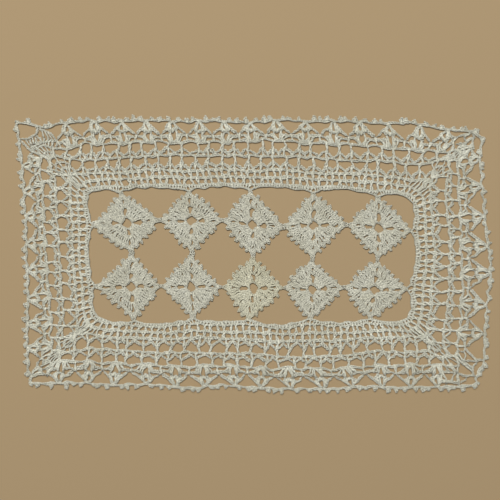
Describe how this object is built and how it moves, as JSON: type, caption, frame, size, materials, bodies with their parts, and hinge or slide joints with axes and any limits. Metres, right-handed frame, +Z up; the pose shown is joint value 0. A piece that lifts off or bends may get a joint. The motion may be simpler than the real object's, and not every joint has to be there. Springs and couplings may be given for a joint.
{
  "type": "crochet doily",
  "caption": "Oblong crocheted lace doily laid flat: square motifs tied point to point inside a wide openwork border with fans and a picot edge.",
  "frame": {"origin": "middle of the doily's outline, on its underside", "axes": "+X along the long side, +Y across it towards the straighter long edge, +Z up out of the right side of the work"},
  "size_m": [0.3602, 0.208, 0.0014],
  "materials": {
    "cotton_border": "matte off-white cotton thread, crocheted",
    "cotton_motif": "matte off-white cotton thread, crocheted"
  },
  "bodies": {
    "root": {"border": "cotton_border", "motif_r1_c1": "cotton_motif", "motif_r1_c2": "cotton_motif", "motif_r1_c3": "cotton_motif", "motif_r1_c4": "cotton_motif", "motif_r1_c5": "cotton_motif", "motif_r2_c1": "cotton_motif", "motif_r2_c2": "cotton_motif", "motif_r2_c3": "cotton_motif", "motif_r2_c4": "cotton_motif", "motif_r2_c5": "cotton_motif"}
  },
  "joints": []
}
